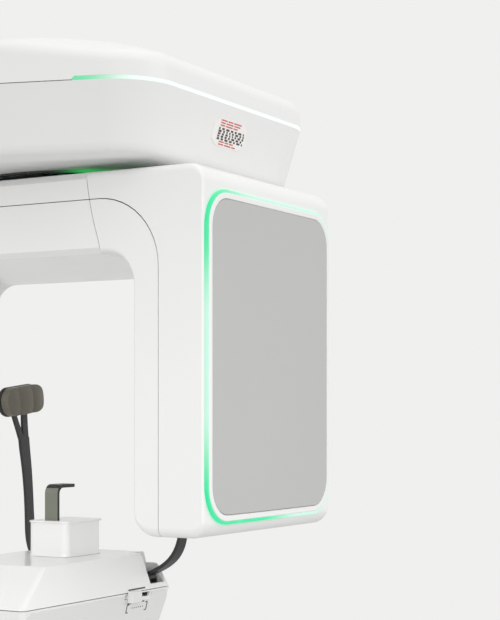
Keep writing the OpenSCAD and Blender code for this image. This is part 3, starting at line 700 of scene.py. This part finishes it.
# %% Panel, trim and ring
PANEL_MIDDLE = 85
PANEL_FRONT = -352
PANEL_HALF = 185


def panel_shape(half_width, half_height, radius):
    return outline(frame_of((-half_width, PANEL_MIDDLE - half_height),
                            (half_width, PANEL_MIDDLE + half_height), radius), "XZ")


def band(outer, inner, start, depth):
    """A frame between two rounded rectangles, given as (half width, half height, radius)."""
    ring = push(panel_shape(*outer), (0, start, 0), (0, depth, 0))
    return cut(ring, push(panel_shape(*inner), (0, start - 5, 0), (0, depth + 10, 0)))


trim = band((194, 242, 53), (185.5, 233, 45), PANEL_FRONT, 5.5)
soften(trim, 1.6, segments=3, wanted=lambda spot: spot.y < PANEL_FRONT + 1)
place(trim, "panel_trim", gloss_paint, "rotor", "white_cover")

ring = band((199.5, 247, 58), (192, 240, 51), -350.2, 4.6)
soften(ring, 1.4, segments=3, wanted=lambda spot: spot.y < -349)
place(ring, "panel_light", ring_light, "rotor", "light_guide", "detector_light_ring")

panel = push(panel_shape(PANEL_HALF, 232.5, 44.5), (0, PANEL_FRONT + 0.6, 0), (0, 3, 0))
soften(panel, 1, segments=3, wanted=lambda spot: spot.y < PANEL_FRONT + 1)
for line in range(-160, 161, 20):
    slice_at(panel, (line, 0, 0), (1, 0, 0))
for point in panel.verts:
    if point.co.y < PANEL_FRONT + 1.8:
        point.co.y -= 2 * (1 - (point.co.x / PANEL_HALF) ** 2)
place(panel, "front_panel", satin_grey, "rotor", "grey_panel", "detector_panel")

window = push(outline(frame_of((-180, -172), (180, 165), 30), "XZ"), (0, -225, 0), (0, 5, 0))
soften(window, 2.2, wanted=lambda spot: spot.y > -221)
place(window, "beam_window", bare_abs, "rotor", "white_cover", "detector_window")

# %% [markdown]
# ## Label on the head
# A small octagonal label sits on the front of the head. It says nothing here: rows of red
# dashes and a field of short dark ones stand for its print. Each mark is a flat plate that
# stands a fifth of a millimetre proud of a label that follows the slope of the shell.

# %% Label
label_paper, surface, spot = new_finish("printed_polyester", IOR=1.5)
vary_tone(label_paper, surface, spot, "FBF8F7", "F6F2F1", 12)
vary_gloss(label_paper, surface, spot, 0.3, 0.4, 5)
skin(label_paper, surface, spot, 1, 0.004)
red_ink, surface, spot = new_finish("red_ink", IOR=1.5)
vary_tone(red_ink, surface, spot, "D0645C", "C4574F", 3)
vary_gloss(red_ink, surface, spot, 0.4, 0.5, 2)
# Dark ink for the label's print; the same finish also paints the shade in the lever's slot on the
# table.
dark_ink_and_slot_shade, surface, spot = new_finish("dark_ink_and_slot_shade", IOR=1.5)
vary_tone(dark_ink_and_slot_shade, surface, spot, "4A4444", "3A3535", 3)
vary_gloss(dark_ink_and_slot_shade, surface, spot, 0.4, 0.5, 2)

LABEL_Z = 441
SHELL_SLOPE = 0.2907
lean = Matrix.Rotation(math.atan2(25, 86), 4, "X")
on_shell = Matrix.Translation((-6, -287.4 + SHELL_SLOPE * (HEAD_SEAM - LABEL_Z), LABEL_Z)) @ lean


def on_label(bm, name, finish, slot_name):
    bm.transform(on_shell)
    place(bm, name, finish, "carriage", slot_name)


label = outline([(-34, -22, 0), (34, -22, 0), (50, -12, 0), (50, 12, 0), (34, 22, 0),
                 (-34, 22, 0), (-50, 12, 0), (-50, -12, 0)], "XZ")
push(label, (0, -0.5, 0), (0, 0.9, 0))
on_label(label, "label", label_paper, "white_cover")

draw = random.Random(7)


def marks(rows, left, right, tall, shortest, longest, gap):
    """Rows of dashes of uneven length."""
    dashes = []
    for height in rows:
        start = left
        while start < right - shortest:
            length = min(draw.uniform(shortest, longest), right - start)
            dashes.append(block((start, -0.7, height - tall / 2),
                                (start + length, -0.4, height + tall / 2)))
            start += length + gap
    return gather(dashes)


on_label(marks((18, 14, 10), -32, 34, 2, 12, 30, 3), "label_lines_above", red_ink,
         "red_plastic")
on_label(marks((-15, -19), -26, 26, 2, 10, 22, 3), "label_lines_below", red_ink,
         "red_plastic")
on_label(marks((5, 1, -3, -7, -11), -34, 45, 3.2, 3, 10, 5), "label_marks", dark_ink_and_slot_shade,
         "dark_plastic")

# %% [markdown]
# ## Patient table
# The table is a shallow box under the chin. Its top cover slopes up from a seam to a narrower
# deck, so two rounded rectangles at different heights are wrapped into one form, as the head
# was. The block of the chin rest stands on the deck, with a thin lip round its top.

# %% Table covers
TABLE_SEAM = -284
DECK = -227
POST_X = -67


def rounded_hull(levels):
    """Wraps rounded rectangles at several heights: (height, low x and y, high x and y, r)."""
    bm = bmesh.new()
    for height, low, high, radius in levels:
        for x in (low[0] + radius, high[0] - radius):
            for y in (low[1] + radius, high[1] - radius):
                bmesh.ops.create_circle(bm, segments=48, radius=radius,
                                        matrix=Matrix.Translation((x, y, height)))
    return wrap(bm)


top = rounded_hull([(TABLE_SEAM + 0.6, (-330, -120), (69, 120), 9),
                    (TABLE_SEAM + 4, (-329, -119), (68, 119), 9),
                    (DECK - 3, (-254, -100), (49, 100), 7),
                    (DECK - 0.8, (-251, -98), (47, 98), 6),
                    (DECK, (-248, -95.5), (44.5, 95.5), 5)])
top = cut(top, rounded_hull([(TABLE_SEAM - 1, (-326, -116), (65, 116), 6),
                             (DECK - 4, (-244, -92), (41, 92), 5)]))
for side in (-1, 1):
    low, high = sorted((side * 80, side * 200))
    top = cut(top, block((11, low, TABLE_SEAM + 8), (55, high, DECK + 10)))
top = cut(top, drum((POST_X, 0, DECK - 20), 17, 40))
place(top, "table_top", gloss_paint, "carriage", "white_cover", "table_top_cover")

housing = rounded_hull([(-400, (-298, -88), (37, 88), 6), (-396, (-302, -92), (41, 92), 9),
                        (TABLE_SEAM - 4, (-329.4, -119.4), (68.4, 119.4), 9),
                        (TABLE_SEAM - 0.6, (-330, -120), (69, 120), 9)])
housing = cut(housing, rounded_hull([(-396, (-297, -87), (36, 87), 6),
                                     (TABLE_SEAM + 1, (-326, -116), (65, 116), 6)]))
housing = cut(housing, block((-130.5, 60, -385.5), (30.5, 130, -299.5)))
housing = cut(housing, block((-66, -125, -294), (6, -110, -287)))
place(housing, "table_bottom", gloss_paint, "carriage", "white_cover", "table_housing")

# %% Chin rest
chin = push(outline(frame_of((-112, -38), (-14, 38), 11), "XY"), (0, 0, DECK + 0.4), (0, 0, 56.9))
soften(chin, 1.2, segments=2, wanted=lambda spot: spot.z > -180)
lip = push(outline(frame_of((-114, -40), (-8, 40), 13), "XY"), (0, 0, -173.2), (0, 0, 3.4))
soften(lip, 1.4, segments=3)
chin = cut(chin, lip, "UNION")
foot = rounded_hull([(DECK + 0.4, (-114, -40), (-12, 40), 13),
                     (DECK + 1.5, (-113, -39), (-13, 39), 12),
                     (DECK + 5, (-112, -38), (-14, 38), 11)])
chin = cut(chin, foot, "UNION")
chin = cut(chin, block((-101.4, -13, -212), (-95.1, 13, -160)))
chin = cut(chin, drum((POST_X, 0, -327), 15, 102), "UNION")
place(chin, "chin_block", gloss_paint, "chinrest", "white_cover", "chinrest_block")

# %% [markdown]
# ## Bite bracket
# The patient bites on a flat metal strip with a bent tip. Its broad faces are a warm grey
# lacquer, and its cut edges and tip are dark. The side outline of the strip is pushed out to
# its width, then the faces that look sideways and the tip's get the second finish.

# %% Bite bracket
strip_lacquer, surface, spot = new_finish("lacquered_strip", IOR=1.5, Metallic=0.35)
vary_tone(strip_lacquer, surface, spot, "878A7D", "787B70", 30)
vary_gloss(strip_lacquer, surface, spot, 0.35, 0.45, 8)
skin(strip_lacquer, surface, spot, 0.8, 0.006)

TIP_TOP = -112
TIP_UNDER = -117.5
bracket = outline([(-101, -211, 0), (-101, TIP_TOP, 15), (-54, TIP_TOP, 1.5),
                   (-54, TIP_UNDER, 1.5), (-95.5, TIP_UNDER, 9.5), (-95.5, -211, 0)], "XZ")
push(bracket, (0, -12.5, 0), (0, 25, 0))
notch = drum((0, 0, 0), 1.8, 40, 24)
notch.transform(Matrix.Translation((-61, -20, TIP_TOP + 0.4))
                @ Matrix.Rotation(math.radians(-90), 4, "X"))
bracket = cut(bracket, notch)
soften(bracket, 0.5, segments=2)
piece = place(bracket, "bite_strip", strip_lacquer, "bite_bracket", "dark_plastic",
              "bite_bracket")
piece.data.materials.append(nylon)
for face in piece.data.polygons:
    if abs(face.normal.y) > 0.5 or face.center.z > axis.z + TIP_UNDER * MM:
        face.material_index = 1

# %% [markdown]
# ## Temple supports
# Two dark arms rise from the table and hold a cushion at either temple. Each is a flat bar
# that bows outwards, so rectangles are laid across its path and bridged, and a subdivision
# surface rounds the run between them. Near the top the bar splits into two prongs. The
# cushion is a crowned pad on a thin dark shell, with two channels pressed across its face.

# %% Bars along a path
def bar(stations):
    """A bar through stations given as (centre, half width, half thickness, lean in degrees)."""
    bm = bmesh.new()
    loops = []
    for centre, wide, thick, tilt in stations:
        turn = Matrix.Translation(centre) @ Matrix.Rotation(math.radians(tilt), 4, "X")
        corners = [bm.verts.new(turn @ Vector((x * wide, y * thick, 0)))
                   for x, y in ((-1, -1), (1, -1), (1, 1), (-1, 1))]
        loops.append([bm.edges.new((corners[i], corners[(i + 1) % 4])) for i in range(4)])
    for first, second in zip(loops, loops[1:]):
        bmesh.ops.bridge_loops(bm, edges=first + second)
    bmesh.ops.holes_fill(bm, edges=[edge for edge in bm.edges if edge.is_boundary])
    bmesh.ops.recalc_face_normals(bm, faces=bm.faces)
    return bm


def smoothed(bm, levels, crease):
    """Subdivides a bar; its long edges keep some of their sharpness."""
    creases = bm.edges.layers.float.new("crease_edge")
    for edge in bm.edges:
        faces = edge.link_faces
        if len(faces) == 2 and edge.calc_face_angle(0) > math.radians(50):
            edge[creases] = crease
    thing = as_object(bm, "bar")
    step = thing.modifiers.new("rounding", "SUBSURF")
    step.levels = levels
    step.render_levels = levels
    return worked(thing)


def flipped(bm, side):
    """The support on the other side is a mirror image."""
    if side < 0:
        bmesh.ops.scale(bm, verts=bm.verts, vec=(1, -1, 1))
        bmesh.ops.reverse_faces(bm, faces=bm.faces)
    return bm


PAD_X = -4
PAD_Z = 25
PIVOT = Matrix.Translation((0, 98, -268))
AXLE = Matrix.Rotation(math.radians(90), 4, "Y")
pad_centre = Matrix.Translation((PAD_X, 141, PAD_Z))
pad_tilt = (Matrix.Translation((4, 0, 0)) @ pad_centre
            @ Matrix.Rotation(math.radians(-7), 4, "Y") @ pad_centre.inverted())
for side, name in ((1, "left"), (-1, "right")):
    body = "temple_" + name
    lower_bow = bar([((33, 104, -261), 14, 3, -60), ((38, 124, -252), 14, 3, -56),
                     ((43, 144, -236), 13.5, 3, -45), ((47, 155, -212), 12, 3, -20),
                     ((49, 158, -180), 10.5, 2.8, -4), ((48, 159, -140), 10.5, 2.6, 1),
                     ((42, 158, -95), 11.5, 2.6, 2), ((33, 157, -56), 13, 2.6, 2),
                     ((30, 156, -38), 13, 2.6, 2)])
    front_prong = bar([((36, 156.5, -50), 7.5, 2.5, 1), ((31, 155.5, -22), 7.5, 2.4, 4),
                       ((27, 153, 0), 7, 2.3, 6), ((22, 150, 27), 6.5, 2.3, 6)])
    back_prong = bar([((27.5, 156.5, -50), 6.5, 2.5, 1), ((13, 155.5, -22), 6, 2.4, 4),
                      ((-2, 153, 0), 5.5, 2.3, 6), ((-17, 150, 27), 6, 2.3, 6)])
    support = smoothed(lower_bow, 2, 0.7)
    for prong in (front_prong, back_prong):
        support = cut(support, smoothed(prong, 2, 0.7), "UNION")
    hub = drum((0, 0, 0), 8, 30, 32)
    soften(hub, 1, segments=2)
    hub.transform(PIVOT @ Matrix.Translation((17, 0, 0)) @ AXLE)
    support = cut(support, hub, "UNION")
    pin = drum((0, 0, 0), 4, 40, 32)
    pin.transform(PIVOT @ Matrix.Translation((12, 0, 0)) @ AXLE)
    support = cut(support, pin, "UNION")
    place(flipped(support, side), "temple_bar_" + name, nylon, body, "dark_plastic",
          "temple_arm_" + name)

    shell = push(outline(frame_of((-54, -25), (52, 25), 24), "XZ"), (PAD_X, 147.5, PAD_Z),
                 (0, -6, 0))
    soften(shell, 1.5, segments=3)
    shell.transform(pad_tilt)
    place(flipped(shell, side), "temple_shell_" + name, nylon, body, "dark_plastic")

    pad = push(outline(frame_of((-51, -24), (51, 24), 23), "XZ"), (PAD_X, 141.4, PAD_Z),
               (0, -13, 0))
    for line in (-38, -24, -18, -12, 2, 12, 18, 24, 36):
        slice_at(pad, (line + PAD_X, 0, 0), (1, 0, 0))
    for line in (-14, 0, 14):
        slice_at(pad, (0, 0, PAD_Z + line), (0, 0, 1))
    for point in pad.verts:
        if point.co.y < 130:
            across = (point.co.x - PAD_X) / 52
            up = (point.co.z - PAD_Z) / 26
            crown = 6.5 * max(0, 1 - across ** 4) * max(0, 1 - up ** 4)
            channel = sum(4.5 * math.exp(-((point.co.x - PAD_X - line) / 4) ** 2)
                          for line in (-18, 18))
            point.co.y -= crown - channel
    soften(pad, 4, segments=3, angle=60, wanted=lambda spot: spot.y < 136)
    pad.transform(pad_tilt)
    cushion = place(flipped(pad, side), "temple_cushion_" + name, foam_skin, body, "pad_rubber",
                    "temple_pad_" + name, sharp=60)

# %% [markdown]
# ## Soft copies of the plain solids
# Many covers already have the right form and only lack the small radii of a mould. A copy of
# the solid's mesh is merged, its flat parts are dissolved into single faces, and its sharp
# edges are bevelled. The copy then stands for the solid.

# %% Soft copies
def soft_copy(node, name, finish, body, slot, width_mm, segments=3, angle=40):
    """A copy of one plain solid with rounded edges."""
    bm = bmesh.new()
    bm.from_mesh(frame["nodes"][node].data)
    bm.transform(to_machine.inverted())
    bmesh.ops.remove_doubles(bm, verts=bm.verts, dist=0.01)
    bmesh.ops.dissolve_limit(bm, angle_limit=math.radians(0.5), verts=bm.verts[:],
                             edges=bm.edges[:])
    soften(bm, width_mm, segments, angle)
    place(bm, name, finish, body, slot, node)


soft_copy("carriage_cover", "carriage_sleeve", gloss_paint, "carriage", "white_cover", 2.5)
soft_copy("support_arm", "table_bracket", gloss_paint, "carriage", "white_cover", 4)
soft_copy("table_side_panel", "side_panel", pale_grey, "carriage", "grey_panel", 0.9)
soft_copy("base_plate", "floor_plate", powder_coat, "column", "painted_white", 3)
soft_copy("base_cover", "foot_cover", bare_abs, "column", "pearl_cover", 3)
soft_copy("laser_lever", "sliding_lever", bare_abs, "laser_lever", "white_cover", 1.2)
soft_copy("emergency_stop", "stop_button", red_abs, "emergency_stop", "red_plastic", 2.5)
soft_copy("power_switch", "rocker", nylon, "power_switch", "dark_plastic", 1)
soft_copy("lift_up_key", "up_key", key_pbt, "lift_up_key", "key_plastic", 1)
soft_copy("lift_down_key", "down_key", key_pbt, "lift_down_key", "key_plastic", 1)
soft_copy("mains_inlet", "socket", nylon, "column", "dark_plastic", 0.4, 2)
soft_copy("generator_window", "tube_window", nylon, "rotor", "dark_plastic", 1)

# %% [markdown]
# ## Handles
# The patient holds two bent bars under the table. A bar that is round all along is a curve
# with a round section. Its points are few and its handles smooth it, and it becomes a mesh
# before it is put in its place. The lower part of each is a thicker rubber grip.

# %% Handles
def round_bar(path, radius):
    """A round rod along smooth points, with domed ends."""
    line = bpy.data.curves.new("rod", "CURVE")
    line.dimensions = "3D"
    line.bevel_depth = radius
    line.bevel_resolution = 6
    line.use_fill_caps = True
    run = line.splines.new("BEZIER")
    run.bezier_points.add(len(path) - 1)
    for point, spot in zip(run.bezier_points, path):
        point.co = spot
        point.handle_left_type = "AUTO"
        point.handle_right_type = "AUTO"
    rod = bpy.data.objects.new("rod", line)
    bpy.context.scene.collection.objects.link(rod)
    bm = bmesh.new()
    bm.from_mesh(rod.evaluated_get(bpy.context.evaluated_depsgraph_get()).to_mesh())
    bpy.data.objects.remove(rod)
    return bm


GRIP_PATH = [(15, 70, -396), (38, 86, -424), (78, 101, -434), (112, 108, -446), (128, 108, -476),
             (125, 105.5, -520), (120, 104, -565)]
grip_parts = []
for side in (-1, 1):
    path = [(x, side * y, z) for x, y, z in GRIP_PATH]
    for part, rounding in ((round_bar(path, 11), 0), (round_bar(path[-3:], 14), 3),
                           (drum((15, side * 70, -409), 20, 9, 48), 2)):
        bmesh.ops.remove_doubles(part, verts=part.verts, dist=0.01)
        if rounding:
            soften(part, rounding, segments=4, angle=50)
        grip_parts.append(part)
place(gather(grip_parts), "handles", nylon, "carriage", "dark_plastic", "hand_grips")

# %% [markdown]
# ## Scale beside the lever, with painted shade at its slot
# A printed scale under the sliding lever shows how far it has gone: a bracket at either end
# and a row of dots between them. Each mark is a flat plate on the side of the table. Two
# dark plates along the edges of the slot that the lever runs in are painted shade: they stand
# for the shadow that falls into the slot.

# %% Scale and painted slot shade
LEVER_X = -50
SCALE_Z = -310
PANEL_SIDE = -121.2
LEAN_BELOW = 28 / 116
LEAN_ABOVE = 0.27


def mark_at(x, z, wide, tall, behind=0):
    """A plate that leans with the side of the table; behind sets it back from the panel."""
    mark = block((x - wide / 2, -0.35, z - tall / 2), (x + wide / 2, 0.8, z + tall / 2))
    for point in mark.verts:
        below_seam = max(0, TABLE_SEAM - point.co.z)
        above_seam = max(0, point.co.z - TABLE_SEAM)
        point.co.y += (PANEL_SIDE + behind + LEAN_BELOW * below_seam
                       + LEAN_ABOVE * above_seam)
    return mark


pieces = [mark_at(-40 + 6 * step, SCALE_Z, 1.8, 1.8) for step in range(6)]
for end, inwards in ((-56, 1), (2, -1)):
    pieces.append(mark_at(end, SCALE_Z, 2, 12))
    for z in (SCALE_Z + 6.5, SCALE_Z - 6.5):
        pieces.append(mark_at(end + 2.5 * inwards, z, 6, 1.6))
# The two long plates are painted shade: dark lines that stand for the shadow in the slot above
# and below the lever.
for z, tall, behind in ((TABLE_SEAM + 4.2, 2.2, 1.2), (TABLE_SEAM - 17.6, 2.0, 0)):
    pieces.append(mark_at(LEVER_X + 18, z, 48, tall, behind))
place(gather(pieces), "lever_scale_and_slot_shade", dark_ink_and_slot_shade, "carriage", "dark_plastic")

# %% [markdown]
# ## The solids that stay
# The frames, bearings, rails and drives inside the machine keep their plain shape. Each gets
# the finish of what it is made of, by the name of its material in the parts list.

# %% Finishes of the solids
by_slot = {"white_cover": gloss_paint, "pearl_cover": bare_abs, "painted_white": powder_coat,
           "grey_panel": satin_grey, "light_guide": under_light, "dark_plastic": nylon,
           "steel": steel, "cast_aluminium": cast_aluminium, "pad_rubber": foam_skin,
           "belt_rubber": belt_rubber, "red_plastic": red_abs, "key_plastic": key_pbt}
for part in frame["record"]["subparts"]:
    finishes = frame["nodes"][part["node"]].data.materials
    finishes.clear()
    finishes.append(by_slot[part["material_slot"]])

# %% [markdown]
# ## Studio
# A white machine in a white room needs soft light from all sides, with just enough direction
# to part one face from the next. The sky gives an even fill and the pale backdrop. One wide
# softbox hangs over the head, a narrow one is aimed at the chin table, and one lights the
# front panel from the other side. The floor ends before it would come into the picture, so
# that the sky alone is behind the machine.

# %% Floor, sky and lamps
floor_bm = bmesh.new()
bmesh.ops.create_circle(floor_bm, cap_ends=True, segments=96, radius=6)
floor = as_object(floor_bm, "floor")
floor_paint, surface, spot = new_finish("floor_paint", IOR=1.45)
vary_tone(floor_paint, surface, spot, "D6D6D5", "D1D1D0", 400)
vary_gloss(floor_paint, surface, spot, 0.6, 0.7, 50)
floor.data.materials.append(floor_paint)

sky = bpy.data.worlds.new("sky")
bpy.context.scene.world = sky
sky.use_nodes = True
backdrop = sky.node_tree.nodes["Background"]
backdrop.inputs["Color"].default_value = linear("F0F0EE")
backdrop.inputs["Strength"].default_value = 1.0
bpy.context.scene.view_settings.view_transform = "Standard"


def softbox(name, spot, target, size, power, spread=180):
    """A square lamp that looks at a target; a small spread keeps its light narrow."""
    lamp = bpy.data.lights.new(name, "AREA")
    lamp.shape = "RECTANGLE"
    lamp.size, lamp.size_y = size
    lamp.energy = power
    lamp.spread = math.radians(spread)
    holder = bpy.data.objects.new(name, lamp)
    holder.location = spot
    holder.rotation_euler = (Vector(target) - Vector(spot)).to_track_quat("-Z", "Y").to_euler()
    bpy.context.scene.collection.objects.link(holder)


softbox("overhead", (-0.6, -1.4, 3.8), (0, -0.8, 1.7), (2.5, 2.5), 9)
softbox("table side", (-1.9, -2.2, 1.5), (-0.1, -0.8, 1.05), (1.2, 1.2), 1.1, spread=26)
softbox("front", (0.6, -3.6, 2.6), (0, -1.1, 1.5), (2.0, 2.0), 7)
print("floor, sky and three softboxes are set")
